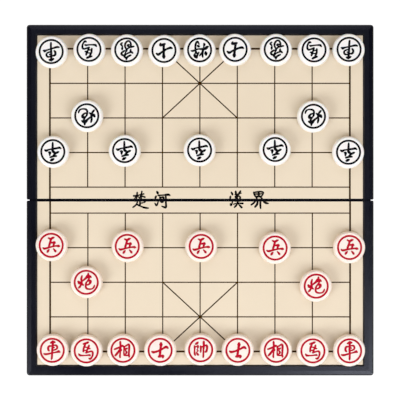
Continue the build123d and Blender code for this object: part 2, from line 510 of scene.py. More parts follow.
class Character(Enum):
    """A brush-written character: strokes on a square that is 100 wide and 100 high."""

    CHARIOT = (
        ((39, 92, 6), (45, 95, 11), (55, 98, 12), (62, 97, 8)),
        ((44, 74, 5), (35, 74, 8), (28, 69, 9), (26, 60, 9), (28, 52, 9), (32, 47, 6)),
        ((44, 75, 6), (53, 77, 6), (64, 80, 6), (73, 78, 8), (78, 69, 8), (76, 61, 7), (68, 55, 6),
         (55, 51, 5)),
        ((50, 66, 8), (55, 67, 8), (60, 66, 5)),
        ((4, 28, 6), (13, 26, 9), (25, 28, 8), (44, 33, 6), (60, 37, 5), (76, 41, 7), (86, 45, 12),
         (91, 43, 10), (94, 42, 5)),
        ((51, 103, 6), (51, 96, 12), (51, 80, 9), (50, 60, 9), (50, 40, 9), (50, 20, 8), (49, 5, 8),
         (48, -1, 5)),
    )
    HORSE = (
        ((33, 89, 6), (40, 91, 9), (49, 94, 9), (57, 98, 10), (61, 100, 6)),
        ((46, 92, 6), (42, 82, 8), (36, 68, 8), (34, 56, 7), (34, 46, 7)),
        ((65, 82, 6), (64, 77, 9), (60, 68, 7), (57, 60, 6), (53, 49, 8), (52, 41, 9)),
        ((39, 70, 5), (48, 71, 4), (58, 69, 5), (64, 65, 8), (71, 63, 5)),
        ((38, 53, 4), (46, 53, 4), (54, 56, 4), (60, 60, 4)),
        ((50, 40, 8), (56, 42, 8), (66, 45, 6), (77, 48, 7), (85, 46, 8), (88, 37, 8), (87, 25, 7),
         (82, 13, 7), (76, 6, 9), (70, 6, 8), (67, 8, 4)),
        ((8, 31, 5), (13, 25, 10), (19, 23, 8), (34, 23, 5), (50, 24, 5), (62, 26, 6), (70, 26, 9),
         (73, 24, 5)),
    )
    ELEPHANT = (
        ((52, 104, 7), (51, 97, 10), (44, 89, 8), (35, 84, 8), (27, 80, 6)),
        ((52, 98, 6), (59, 92, 9), (63, 86, 10), (59, 79, 9), (53, 74, 6), (47, 71, 5)),
        ((16, 68, 6), (22, 63, 9), (28, 61, 8), (28, 53, 8), (27, 48, 5)),
        ((26, 63, 5), (36, 66, 6), (46, 70, 6)),
        ((60, 78, 5), (67, 81, 6), (74, 80, 8), (80, 73, 10), (78, 66, 8), (71, 60, 8), (63, 55, 6)),
        ((61, 75, 5), (57, 67, 5), (55, 61, 6), (52, 54, 11)),
        ((52, 56, 8), (51, 49, 9), (45, 43, 7), (36, 37, 5), (25, 34, 7), (15, 31, 7), (9, 30, 5)),
        ((33, 33, 4), (40, 30, 6), (45, 25, 8), (41, 21, 7), (34, 22, 4)),
        ((29, 34, 5), (26, 22, 8), (28, 10, 7), (34, 1, 7), (43, -1, 6), (51, 4, 7), (58, 14, 8),
         (60, 27, 8), (57, 37, 7), (52, 46, 7)),
        ((76, 48, 6), (76, 42, 10), (75, 32, 5), (78, 24, 7), (83, 18, 9), (81, 13, 6), (76, 10, 5)),
    )
    MINISTER = (
        ((35, 99, 7), (35, 94, 9), (36, 80, 8), (36, 64, 8), (35, 46, 7), (34, 30, 6), (33, 18, 8),
         (34, 10, 6)),
        ((2, 56, 6), (12, 60, 8), (26, 65, 8), (38, 71, 9), (46, 76, 9), (54, 72, 8), (57, 68, 6)),
        ((33, 56, 7), (25, 43, 9), (15, 30, 10), (7, 21, 8)),
        ((36, 59, 5), (40, 54, 7), (41, 49, 5)),
        ((55, 71, 6), (58, 63, 9), (56, 48, 5), (56, 33, 6), (59, 25, 10), (64, 21, 5)),
        ((57, 71, 4), (66, 75, 6), (75, 81, 7), (83, 83, 9), (86, 76, 9), (86, 60, 9), (85, 42, 8),
         (84, 26, 8), (86, 15, 8), (86, 11, 4)),
        ((57, 60, 6), (64, 57, 8), (73, 61, 7)),
        ((64, 51, 4), (68, 45, 7), (71, 38, 9), (68, 32, 7)),
        ((58, 23, 8), (68, 21, 6), (78, 21, 6), (86, 21, 6)),
    )
    ADVISOR = (
        ((4, 40, 7), (12, 37, 11), (25, 40, 9), (40, 46, 8), (54, 55, 10), (66, 61, 8),
         (76, 68, 10), (84, 71, 12), (90, 68, 10), (94, 65, 6)),
        ((53, 90, 12), (53, 84, 17), (53, 75, 12), (52, 60, 10), (51, 42, 10), (50, 26, 10),
         (48, 15, 11)),
        ((43, 13, 8), (51, 16, 13), (60, 18, 11), (68, 18, 13), (67, 11, 9)),
    )
    BLACK_GENERAL = (
        ((13, 77, 10), (14, 71, 15), (15, 65, 13), (16, 61, 6)),
        ((32, 90, 6), (33, 82, 8), (33, 68, 9), (31, 54, 10), (28, 44, 7), (26, 32, 4), (23, 20, 12),
         (25, 13, 5)),
        ((49, 83, 5), (45, 77, 7), (40, 71, 7), (34, 62, 5)),
        ((1, 31, 6), (7, 34, 13), (15, 41, 13), (28, 45, 11), (42, 45, 8), (56, 45, 5), (68, 48, 6),
         (79, 53, 7), (90, 56, 9), (98, 55, 4)),
        ((66, 94, 8), (65, 86, 9), (60, 75, 8), (54, 64, 5)),
        ((68, 91, 14), (75, 87, 14), (78, 79, 12), (76, 72, 6), (72, 66, 6), (68, 61, 5)),
        ((61, 76, 5), (66, 68, 8), (72, 63, 6)),
        ((72, 66, 5), (73, 54, 8), (74, 38, 8), (73, 22, 8), (69, 10, 9), (62, 4, 11), (57, 8, 6),
         (53, 17, 4)),
        ((54, 30, 10), (58, 28, 12), (61, 26, 7)),
    )
    RED_GENERAL = (
        ((34, 92, 7), (30, 88, 12), (26, 85, 10), (21, 83, 6)),
        ((14, 72, 5), (16, 66, 9), (15, 50, 5), (15, 34, 7), (17, 24, 9), (19, 19, 5)),
        ((17, 68, 5), (26, 68, 4), (34, 72, 8), (35, 65, 7), (32, 58, 4)),
        ((27, 50, 1), (32, 49, 5), (34, 44, 6), (32, 40, 3)),
        ((27, 36, 4), (29, 30, 7), (34, 23, 10), (38, 21, 5)),
        ((49, 71, 5), (51, 65, 9), (51, 52, 7), (50, 42, 8), (50, 36, 4)),
        ((51, 67, 6), (63, 68, 7), (75, 74, 7), (84, 74, 10), (87, 64, 10), (86, 52, 9), (82, 41, 10),
         (77, 38, 7)),
        ((68, 96, 9), (68, 88, 10), (68, 70, 9), (66, 50, 7), (66, 30, 7), (65, 14, 7), (64, 6, 4)),
    )
    CANNON = (
        ((5, 54, 9), (10, 48, 16), (17, 47, 14), (22, 48, 8)),
        ((26, 87, 5), (24, 80, 8), (22, 68, 9), (24, 56, 9), (23, 44, 9), (19, 33, 8), (12, 23, 9),
         (7, 18, 5)),
        ((23, 46, 6), (28, 38, 8), (34, 34, 5)),
        ((23, 55, 5), (34, 62, 7), (45, 71, 9), (54, 81, 13), (61, 91, 11), (62, 101, 6)),
        ((54, 80, 13), (64, 83, 16), (73, 82, 12), (78, 79, 5)),
        ((67, 82, 9), (67, 74, 8), (63, 66, 6), (57, 57, 6), (50, 48, 6)),
        ((59, 58, 7), (66, 59, 11), (73, 57, 13), (73, 49, 12), (68, 41, 8), (60, 36, 6), (50, 35, 6)),
        ((53, 52, 5), (49, 43, 8), (47, 32, 8), (48, 22, 8), (54, 14, 8), (66, 11, 6), (80, 12, 5),
         (90, 17, 6), (95, 25, 7), (97, 33, 4)),
    )
    BLACK_SOLDIER = (
        ((45, 92, 7), (53, 96, 13), (60, 100, 9)),
        ((30, 75, 7), (37, 75, 9), (48, 77, 8), (57, 80, 8), (64, 82, 7)),
        ((49, 77, 7), (44, 69, 7), (37, 62, 9), (28, 56, 9), (20, 52, 9), (16, 50, 4)),
        ((35, 61, 8), (41, 55, 11), (48, 49, 12), (54, 43, 7)),
        ((67, 71, 5), (67, 64, 9), (67, 56, 14), (74, 53, 5)),
        ((5, 31, 6), (13, 27, 10), (26, 30, 8), (44, 33, 8), (60, 36, 5), (74, 39, 6), (84, 44, 10),
         (90, 44, 11), (95, 41, 6)),
        ((51, 50, 8), (51, 38, 11), (51, 22, 9), (51, 6, 8), (51, -2, 5)),
    )
    RED_SOLDIER = (
        ((67, 95, 5), (61, 93, 10), (54, 89, 10), (47, 86, 9)),
        ((35, 92, 5), (41, 89, 8), (49, 85, 10)),
        ((51, 87, 8), (47, 76, 9), (43, 62, 9), (39, 50, 9), (37, 41, 6)),
        ((45, 65, 7), (55, 65, 8), (63, 66, 9), (69, 66, 12), (73, 63, 5)),
        ((67, 62, 9), (64, 52, 8), (62, 43, 7)),
        ((3, 36, 5), (9, 32, 9), (20, 33, 9), (38, 38, 7), (56, 42, 6), (72, 45, 6), (84, 46, 8),
         (92, 45, 12), (97, 44, 6)),
        ((38, 26, 4), (33, 20, 10), (29, 14, 10), (27, 11, 5)),
        ((63, 29, 4), (69, 22, 8), (74, 16, 10), (76, 13, 5)),
    )
    CHU = (
        ((15, 68, 7), (22, 68, 8), (30, 69, 7), (38, 71, 5)),
        ((32, 85, 6), (32, 78, 7), (31, 68, 8), (29, 58, 5), (28, 52, 4)),
        ((30, 66, 4), (24, 60, 4), (18, 53, 3)),
        ((35, 66, 4), (39, 62, 4), (43, 59, 4)),
        ((42, 72, 5), (50, 74, 6), (58, 76, 5), (65, 78, 5)),
        ((55, 90, 6), (54, 83, 6), (53, 72, 8), (52, 60, 7), (51, 52, 5)),
        ((50, 67, 5), (46, 62, 5), (43, 57, 4)),
        ((55, 68, 5), (62, 65, 6), (70, 62, 7)),
        ((20, 42, 4), (32, 44, 5), (48, 47, 5), (62, 47, 6), (70, 42, 10), (68, 36, 5)),
        ((46, 47, 6), (46, 38, 6), (46, 28, 8), (46, 20, 5)),
        ((48, 33, 3), (55, 33, 5), (62, 35, 4)),
        ((33, 42, 5), (32, 34, 6), (28, 26, 6), (20, 18, 6), (11, 12, 5)),
        ((31, 27, 4), (38, 22, 7), (50, 17, 5), (62, 12, 7), (75, 9, 8), (87, 8, 5)),
    )
    HE = (
        ((27, 89, 7), (30, 84, 11), (32, 79, 7)),
        ((23, 67, 6), (21, 62, 9), (19, 56, 6), (19, 48, 4)),
        ((17, 32, 4), (21, 25, 7), (25, 22, 8), (30, 30, 6), (34, 42, 4)),
        ((33, 70, 6), (42, 71, 6), (56, 72, 5), (68, 73, 7), (80, 74, 10), (87, 73, 9), (91, 70, 4)),
        ((41, 62, 6), (44, 55, 8), (47, 44, 7), (48, 38, 4)),
        ((42, 60, 6), (50, 61, 6), (58, 61, 9), (60, 55, 7), (56, 42, 8)),
        ((46, 40, 7), (52, 38, 9), (58, 40, 6)),
        ((70, 74, 8), (71, 58, 7), (71, 38, 7), (72, 22, 8), (71, 12, 9), (64, 12, 8), (51, 17, 4)),
    )
    HAN = (
        ((23, 86, 5), (26, 80, 9), (29, 74, 6)),
        ((19, 67, 4), (18, 62, 8), (16, 56, 5)),
        ((18, 29, 5), (21, 23, 10), (25, 28, 6), (28, 38, 5), (30, 47, 3)),
        ((41, 74, 4), (50, 76, 4), (62, 79, 4), (71, 82, 4)),
        ((44, 90, 7), (45, 82, 9), (46, 74, 8), (48, 68, 5)),
        ((68, 92, 6), (64, 85, 8), (59, 77, 8), (55, 70, 5)),
        ((42, 64, 6), (45, 59, 8), (46, 52, 5)),
        ((44, 65, 4), (54, 66, 4), (64, 66, 5), (66, 59, 8), (64, 52, 5)),
        ((41, 41, 3), (50, 42, 4), (62, 42, 4), (70, 43, 3)),
        ((34, 27, 5), (46, 31, 4), (60, 33, 4), (70, 31, 6), (79, 31, 8)),
        ((53, 72, 4), (53, 58, 4), (54, 42, 6), (51, 28, 6), (46, 20, 8), (38, 12, 5)),
        ((56, 35, 4), (60, 26, 5), (67, 18, 8), (74, 11, 8)),
    )
    JIE = (
        ((19, 86, 5), (21, 79, 7), (25, 70, 7), (31, 62, 6)),
        ((19, 85, 4), (32, 87, 6), (48, 89, 6), (59, 88, 7), (66, 84, 7), (63, 75, 6), (58, 67, 6),
         (52, 61, 5)),
        ((26, 78, 4), (36, 77, 6), (46, 77, 6), (58, 79, 3)),
        ((44, 88, 7), (44, 78, 10), (44, 66, 9)),
        ((31, 65, 6), (42, 65, 7), (56, 65, 7)),
        ((36, 60, 5), (32, 52, 6), (27, 42, 6), (18, 32, 7), (7, 24, 6)),
        ((54, 63, 5), (60, 55, 6), (66, 45, 7), (72, 37, 8), (81, 33, 9), (91, 31, 5)),
        ((39, 48, 5), (38, 37, 8), (35, 25, 9), (26, 14, 7)),
        ((52, 49, 6), (52, 38, 8), (52, 22, 8), (53, 7, 6)),
    )


@dataclass(frozen=True)
class Brush:
    """Writes characters: how large their square is, and how finely a stroke is drawn."""

    square_mm: float
    spread_mm: float = 0.62  # how much wider the ink runs than the stroke was drawn
    steps: int = 5  # from one point of a stroke to the next
    tip_steps: int = 4  # round each end

    def write(self, character: Character, centre_mm: tuple[float, float]) -> list[list[Loop]]:
        """Writes one character.

        Args:
            character: What to write.
            centre_mm: The middle of its square.

        Returns:
            The outline of each stroke, each as a mark of one loop.
        """
        scale = self.square_mm / CHARACTER_SQUARE
        marks = []
        for stroke in character.value:
            line = self._line(stroke)
            line[:, :2] = (line[:, :2] - CHARACTER_SQUARE / 2) * scale + centre_mm
            line[:, 2] = 0.5 * (line[:, 2] * scale + self.spread_mm)
            marks.append([self._outline(line)])
        return marks

    def _line(self, stroke: Stroke) -> np.ndarray:
        """Runs a smooth line through a stroke's points, as a Catmull-Rom spline.

        Args:
            stroke: The points, with the width at each.

        Returns:
            The places and widths along the line, one row each.
        """
        knots = np.array(stroke, float)
        before, after = 2 * knots[0] - knots[1], 2 * knots[-1] - knots[-2]
        knots = np.vstack([before, knots, after])
        rows = []
        for a, b, c, d in zip(knots, knots[1:], knots[2:], knots[3:]):
            for t in np.arange(self.steps) / self.steps:
                bend = 2 * a - 5 * b + 4 * c - d + t * (3 * (b - c) + d - a)
                rows.append(b + 0.5 * t * (c - a + t * bend))
        rows.append(knots[-2])
        return np.array(rows)

    def _outline(self, line: np.ndarray) -> Loop:
        """Draws round a line with a round tip at each end.

        Args:
            line: The places and half widths along it.

        Returns:
            The closed outline.
        """
        along = np.gradient(line[:, :2], axis=0)
        along /= np.linalg.norm(along, axis=1)[:, None]
        beside = np.column_stack([-along[:, 1], along[:, 0]])
        reach = line[:, 2:]
        left, right = line[:, :2] + beside * reach, line[:, :2] - beside * reach
        angles = np.linspace(0.0, pi, self.tip_steps + 2)[1:-1, None]
        end = line[-1, :2] + reach[-1] * (beside[-1] * np.cos(angles) + along[-1] * np.sin(angles))
        start = line[0, :2] - reach[0] * (beside[0] * np.cos(angles) + along[0] * np.sin(angles))
        return np.vstack([right, end[::-1], left[::-1], start[::-1]])


# ---------------------------------------------------------------- objects and meshes


def add_object(name: str, data: bpy.types.ID) -> bpy.types.Object:
    """Makes an object and puts it in the scene.

    Args:
        name: Its name.
        data: Its mesh, light or camera.

    Returns:
        The object.
    """
    made = bpy.data.objects.new(name, data)
    bpy.context.scene.collection.objects.link(made)
    return made


def ring_pairs(items: Sequence[int]) -> list[tuple[int, int]]:
    """Pairs each item of a ring with the next one.

    Args:
        items: The items in order.

    Returns:
        The pairs. The last one leads back to the first item.
    """
    return list(zip(items, [*items[1:], items[0]]))


def circle(radius: float, steps: int) -> Loop:
    """Draws a circle round the middle.

    Args:
        radius: Its radius.
        steps: How many corners it has.

    Returns:
        The circle, drawn counter-clockwise.
    """
    angles = np.arange(steps) * 2.0 * pi / steps
    return radius * np.column_stack([np.cos(angles), np.sin(angles)])


def bar(start: Sequence[float], end: Sequence[float], width: float) -> Loop:
    """Draws a straight line of some width.

    Args:
        start: Where it starts.
        end: Where it ends.
        width: Its width.

    Returns:
        Its outline.
    """
    a, b = np.array(start, float), np.array(end, float)
    along = (b - a) / np.linalg.norm(b - a)
    beside = np.array([-along[1], along[0]]) * width / 2.0
    return np.array([a - beside, b - beside, b + beside, a + beside])


def turns_round(points: np.ndarray, loop: Loop) -> np.ndarray:
    """Counts how often a loop turns round each point.

    Args:
        points: The points.
        loop: The loop.

    Returns:
        The count for each point.
    """
    x, y = points[:, :1], points[:, 1:]
    (ax, ay), (bx, by) = loop.T, np.roll(loop, -1, axis=0).T
    side = (bx - ax) * (y - ay) - (x - ax) * (by - ay)
    up = (ay <= y) & (by > y) & (side > 0)
    down = (ay > y) & (by <= y) & (side < 0)
    return up.sum(axis=1) - down.sum(axis=1)


@dataclass(frozen=True)
class CutFace:
    """A flat face, cut along everything that is marked on it."""

    points: np.ndarray
    triangles: np.ndarray
    marked: np.ndarray  # for each triangle

    @classmethod
    def cut(cls, outline: Loop, marks: Sequence[Sequence[Loop]]) -> "CutFace":
        """Cuts a face up.

        Args:
            outline: The face's edge, counter-clockwise.
            marks: What is on it. The loops of one mark that run the other way are its holes.

        Returns:
            The face in triangles.
        """
        points: list[Vector] = []
        edges: list[tuple[int, int]] = []
        for loop in [outline, *(loop for mark in marks for loop in mark)]:
            edges += ring_pairs(range(len(points), len(points) + len(loop)))
            points += [Vector(corner) for corner in loop]
        everything = 0  # asks for the triangles inside the outline and outside it
        found, _, faces, *_ = delaunay_2d_cdt(points, edges, [], everything, CUT_CLOSENESS_MM, False)
        corners = np.array([tuple(corner) for corner in found])
        triangles = np.array([tuple(face) for face in faces])
        middles = corners[triangles].mean(axis=1)
        inside = turns_round(middles, outline) != 0
        triangles, middles = triangles[inside], middles[inside]
        marked = np.zeros(len(triangles), bool)
        for mark in marks:
            marked |= sum(turns_round(middles, loop) for loop in mark) != 0
        return cls(corners, triangles, marked)

    def edges_of_marks(self) -> Iterator[tuple[int, int]]:
        """Finds where a marked triangle lies on an edge's left and a plain one on its right.

        Yields:
            The two ends of each such edge.
        """
        plain = {pair for face in self.triangles[~self.marked].tolist() for pair in ring_pairs(face)}
        for face in self.triangles[self.marked].tolist():
            for a, b in ring_pairs(face):
                if (b, a) in plain:
                    yield a, b


@dataclass
class Draft:
    """A mesh while it is put together, in millimetres."""

    corners: list[tuple[float, float, float]] = field(default_factory=list)
    faces: list[tuple[int, ...]] = field(default_factory=list)
    finishes: list[int] = field(default_factory=list)
    smooth: list[bool] = field(default_factory=list)

    def add(
        self,
        corners: Sequence[Sequence[float]],
        faces: Sequence[Sequence[int]],
        finish: int | Sequence[int],
        smooth: bool = False,
    ) -> None:
        """Adds some faces.

        Args:
            corners: Their corners.
            faces: Each face's corners, counted from the first one given here.
            finish: The number of their finish, for all or for each.
            smooth: Whether they shade as one curved surface.
        """
        first = len(self.corners)
        self.corners += [tuple(float(part) for part in corner) for corner in corners]
        self.faces += [tuple(first + int(i) for i in face) for face in faces]
        each = [finish] * len(faces) if isinstance(finish, int) else [int(f) for f in finish]
        self.finishes += each
        self.smooth += [smooth] * len(faces)

    def add_turned(self, profile: Sequence[Point], steps: int, finish: int) -> None:
        """Adds what a lathe makes of a profile. A point on the axis closes it.

        Args:
            profile: Radius and height, point by point.
            steps: How many faces go round.
            finish: The number of its finish.
        """
        corners: list[tuple[float, float, float]] = []
        rings: list[list[int]] = []
        for radius, height in profile:
            if radius == 0.0:
                rings.append([len(corners)] * steps)
                corners.append((0.0, 0.0, height))
            else:
                rings.append([len(corners) + i for i in range(steps)])
                corners += [(x, y, height) for x, y in circle(radius, steps)]
        faces = []
        for low, high in zip(rings, rings[1:]):
            for i, j in ring_pairs(range(steps)):
                faces.append(tuple(dict.fromkeys((low[i], low[j], high[j], high[i]))))
        self.add(corners, faces, finish, smooth=True)

    def build(self, name: str, materials: Sequence[bpy.types.Material]) -> bpy.types.Object:
        """Welds the mesh and makes an object of it.

        Args:
            name: The object's name.
            materials: The finishes, by number.

        Returns:
            The object.
        """
        mesh = bpy.data.meshes.new(name)
        mesh.from_pydata([tuple(part * MM for part in c) for c in self.corners], [], self.faces)
        for material in materials:
            mesh.materials.append(material)
        mesh.polygons.foreach_set("material_index", self.finishes)
        mesh.polygons.foreach_set("use_smooth", self.smooth)
        shape = bmesh.new()
        shape.from_mesh(mesh)
        bmesh.ops.remove_doubles(shape, verts=shape.verts, dist=WELD_DISTANCE)
        loose = [corner for corner in shape.verts if not corner.link_faces]
        bmesh.ops.delete(shape, geom=loose, context="VERTS")
        bmesh.ops.recalc_face_normals(shape, faces=shape.faces)
        shape.to_mesh(mesh)
        shape.free()
        mesh.set_sharp_from_angle(angle=SHARP_ANGLE)
        return add_object(name, mesh)


# ---------------------------------------------------------------- printed sheets


class Side(Enum):
    """A choice whose name starts the names of its pieces."""

    @property
    def prefix(self) -> str:
        """The start of the names of its pieces."""
        return self.name.lower()


class Half(Side):
    """One half of the box, and the way it lies from the fold."""

    NEAR = -1
    FAR = 1


@dataclass(frozen=True)
class BoardSheet:
    """The printed sheet of one half: files, ranks, palace, the river's words and painted shade along
    the fold.
    """

    half: Half
    shift_mm: float = 0.0  # of the print, to the right
    corner_mm: float = 0.6
    corner_steps: int = 4
    file_spacing_mm: float = 34.5
    border_out_mm: float = 0.3  # how far the border stands outside the first and last files
    rank_spacing_mm: float = 31.9
    river_mm: float = 23.95
    line_mm: float = 1.08
    border_mm: float = 1.7
    diagonal_mm: float = 1.12
    edge_mm: float = 0.35  # width of the painted shade along the sheet's edge at the fold
    files: int = 9
    ranks: int = 5
    palace_ranks: int = 2  # that the diagonals of the palace cross
    word_square_mm: float = 18.7
    word_spread_mm: float = 0.45
    words: tuple[tuple[Character, float], ...] = (
        (Character.CHU, -54.7),
        (Character.HE, -35.5),
        (Character.HAN, 33.9),
        (Character.JIE, 55.2),
    )
    word_height_mm: float = 0.5  # of the words' middle, beyond the fold

    def build(self, materials: Sequence[bpy.types.Material]) -> None:
        """Builds the sheet where its solid lies.

        Args:
            materials: The bare sheet, the ink of the lines, and the black ink, which also paints the
                shade along the fold.
        """
        node = f"{self.half.prefix}_board_sheet"
        low, high = (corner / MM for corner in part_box(node))
        outline = self._outline(low, high)
        # black holds the painted shade along the fold and the river's words
        ruled, black = self._lines(low, high), [self._dark_edge(low, high), *self._words()]
        face = CutFace.cut(outline, ruled + black)
        middles = face.points[face.triangles].mean(axis=1)
        in_black = np.zeros(len(middles), bool)
        for mark in black:
            in_black |= turns_round(middles, mark[0]) != 0
        finish = np.where(in_black, BLACK_INK_AND_FOLD_SHADE, np.where(face.marked, LINE_INK, BARE))
        draft = Draft()
        draft.add([(*point, high.z) for point in face.points], face.triangles, finish)
        count = len(outline)
        rim = [(*point, high.z) for point in outline] + [(*point, low.z) for point in outline]
        walls = [(i, j, j + count, i + count) for i, j in ring_pairs(range(count))]
        underside = tuple(reversed(range(count, 2 * count)))
        draft.add(rim, [*walls, underside], BARE)
        sheet = draft.build(f"{self.half.prefix}_printed_sheet", materials)
        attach(sheet, f"{self.half.prefix}_half")
        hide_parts(node)
        log.info("%s: %d faces", sheet.name, len(sheet.data.polygons))

    def _outline(self, low: Vector, high: Vector) -> Loop:
        """Draws the sheet's edge with its rounded corners.

        Args:
            low: The sheet's lowest corner.
            high: Its highest corner.

        Returns:
            The edge, counter-clockwise.
        """
        r, steps = self.corner_mm, self.corner_steps
        corners = ((high.x - r, high.y - r), (low.x + r, high.y - r),
                   (low.x + r, low.y + r), (high.x - r, low.y + r))
        turns = circle(r, steps * len(corners))
        rows = []
        for quarter, corner in enumerate(corners):
            for step in range(steps + 1):
                rows.append(turns[(quarter * steps + step) % len(turns)] + corner)
        return np.array(rows)

    def _file(self, number: int) -> float:
        """Returns where a file lies, counted from the left."""
        return (number - (self.files - 1) / 2) * self.file_spacing_mm + self.shift_mm

    def _rank(self, number: int) -> float:
        """Returns where a rank lies, counted from the river."""
        return self.half.value * (self.river_mm / 2 + number * self.rank_spacing_mm)

    def _fold_edge(self, low: Vector, high: Vector) -> float:
        """Returns where the sheet ends at the fold."""
        return low.y if self.half is Half.FAR else high.y

    def _dark_edge(self, low: Vector, high: Vector) -> list[Loop]:
        """Draws a strip of painted shade along the sheet's edge at the fold.

        Args:
            low: The sheet's lowest corner.
            high: Its highest corner.

        Returns:
            The mark.
        """
        middle = self._fold_edge(low, high) + self.half.value * self.edge_mm / 2
        return [bar((low.x, middle), (high.x, middle), self.edge_mm)]

    def _lines(self, low: Vector, high: Vector) -> list[list[Loop]]:
        """Rules the lines.

        Args:
            low: The sheet's lowest corner.
            high: Its highest corner.

        Returns:
            One mark for each line.
        """
        last_file, last_rank = self.files - 1, self.ranks - 1
        left, right = self._file(0) - self.border_out_mm, self._file(last_file) + self.border_out_mm
        end, fold = self._rank(last_rank), self._fold_edge(low, high)
        overrun = self.half.value * self.border_mm / 2
        bars = [((left, end), (right, end), self.border_mm)]
        bars += [((x, fold), (x, end + overrun), self.border_mm) for x in (left, right)]
        for rank in range(last_rank):
            bars.append(((left, self._rank(rank)), (right, self._rank(rank)), self.line_mm))
        for number in range(1, last_file):
            file = self._file(number)
            bars.append(((file, self._rank(0)), (file, end), self.line_mm))
        middle, palace_front = last_file // 2, self._rank(last_rank - self.palace_ranks)
        for way in (-1, 1):
            back, front = (self._file(middle - way), end), (self._file(middle + way), palace_front)
            bars.append((back, front, self.diagonal_mm))
        return [[bar(*each)] for each in bars]

    def _words(self) -> list[list[Loop]]:
        """Writes the river's words, which the fold cuts through.

        Returns:
            One mark for each stroke.
        """
        brush = Brush(self.word_square_mm, self.word_spread_mm)
        marks = []
        for character, across in self.words:
            marks += brush.write(character, (across, self.word_height_mm))
        return marks


# ---------------------------------------------------------------- men


class Army(Side):
    """One side's men, and the way they face."""

    RED = 0.0
    BLACK = pi


@dataclass(frozen=True)
class Chessman:
    """A drum-shaped man with an engraved ring and character, and a cover under its magnet."""

    radius_mm: float = 14.8
    height_mm: float = 9.5
    foot_mm: float = 11.4  # radius
    foot_round_mm: float = 0.25
    belly_mm: float = 3.4  # height of the widest part
    belly_round_mm: float = 0.9
    side_steps: int = 6
    shoulder_mm: float = 13.5  # radius where the side would meet the top
    shoulder_round_mm: float = 1.2
    shoulder_steps: int = 5
    ring_mm: float = 10.6  # radius of the ring's middle
    ring_width_mm: float = 1.8
    groove_mm: float = 0.3  # depth of what is engraved
    square_mm: float = 16.0
    cover_mm: float = 10.3  # radius
    cover_gap_mm: float = 0.1
    cover_lift_mm: float = 0.2
    cover_thickness_mm: float = 1.0
    cover_play_mm: float = 0.05  # between the cover and the cap over it
    cover_bevel_mm: float = 0.25
    gate_mm: float = 1.3  # radius of the dimple where the cover's plastic ran in
    gate_slope_mm: float = 0.3
    steps: int = 72

    def side(self) -> list[Point]:
        """Works out the cap's profile, from under its middle to the edge of its flat top.

        Returns:
            Radius and height, point by point.
        """
        rise = self.height_mm - self.belly_mm
        inset = self.radius_mm - self.shoulder_mm
        arc = (inset**2 + rise**2) / (2 * inset)
        axis = self.radius_mm - arc
        small = self.shoulder_round_mm
        small_height = self.height_mm - small
        small_axis = axis + sqrt((arc - small) ** 2 - (small_height - self.belly_mm) ** 2)
        meet = np.arctan2(small_height - self.belly_mm, small_axis - axis)
        recess = self.cover_mm + self.cover_gap_mm
        ceiling = self.cover_lift_mm + self.cover_thickness_mm
        foot, belly = (self.foot_mm, 0.0), (self.radius_mm, self.belly_mm)
        above = (self.radius_mm, self.height_mm)
        points = [(0.0, ceiling), (recess, ceiling), (recess, 0.0)]
        points += self._eased((recess, 0.0), foot, belly, self.foot_round_mm)
        points += self._eased(foot, belly, above, self.belly_round_mm)
        first = self.belly_round_mm / arc
        for angle in np.linspace(first, meet, self.side_steps + 1)[1:]:
            points.append((axis + arc * cos(angle), self.belly_mm + arc * sin(angle)))
        for angle in np.linspace(meet, pi / 2, self.shoulder_steps + 1)[1:]:
            points.append((small_axis + small * cos(angle), small_height + small * sin(angle)))
        return points

    @staticmethod
    def _eased(before: Point, corner: Point, after: Point, reach: float) -> list[Point]:
        """Rounds a corner of the profile.

        Args:
            before: A point on the side that comes first.
            corner: The corner.
            after: A point on the side that comes after.
            reach: How far from the corner the rounding starts.

        Returns:
            The points that take the corner's place.
        """
        b = np.array(corner)
        a = b + reach * (np.array(before) - b) / np.linalg.norm(np.array(before) - b)
        c = b + reach * (np.array(after) - b) / np.linalg.norm(np.array(after) - b)
        steps = (0.0, 0.33, 0.67, 1.0)
        return [tuple((1 - t) ** 2 * a + 2 * t * (1 - t) * b + t * t * c) for t in steps]

    def draft(self, character: Character) -> Draft:
        """Puts a man together: the turned cap, its engraved top and the cover beneath.

        Args:
            character: What is engraved on it.

        Returns:
            The man, standing on the middle of its foot.
        """
        draft, side = Draft(), self.side()
        draft.add_turned(side, self.steps, PLASTIC)
        self._add_top(draft, character, side[-1][0])
        self._add_cover(draft)
        return draft

    def _add_top(self, draft: Draft, character: Character, flat: float) -> None:
        """Adds the flat top with its engraving.

        Args:
            draft: Where it goes.
            character: What is engraved.
            flat: The radius of the flat top.
        """
        half = self.ring_width_mm / 2
        ring = [circle(self.ring_mm + half, self.steps), circle(self.ring_mm - half, self.steps)[::-1]]
        strokes = Brush(self.square_mm).write(character, (0.0, 0.0))
        face = CutFace.cut(circle(flat, self.steps), [ring, *strokes])
        top, floor = self.height_mm, self.height_mm - self.groove_mm
        count = len(face.points)
        corners = [(x, y, top) for x, y in face.points] + [(x, y, floor) for x, y in face.points]
        walls = [(a, b, b + count, a + count) for a, b in face.edges_of_marks()]
        draft.add(corners, face.triangles[~face.marked], PLASTIC)
        draft.add(corners, face.triangles[face.marked] + count, PAINT)
        draft.add(corners, walls, PAINT)

    def _add_cover(self, draft: Draft) -> None:
        """Adds the disc that closes a man's foot, with the mark where its plastic ran in.

        Args:
            draft: Where it goes.
        """
        low, bevel = self.cover_lift_mm, self.cover_bevel_mm
        high = low + self.cover_thickness_mm - self.cover_play_mm
        profile = [
            (0.0, low + bevel),
            (self.gate_mm - self.gate_slope_mm, low + bevel),
            (self.gate_mm, low),
            (self.cover_mm - bevel, low),
            (self.cover_mm, low + bevel),
            (self.cover_mm, high),
            (0.0, high),
        ]
        draft.add_turned(profile, self.steps, PLASTIC)


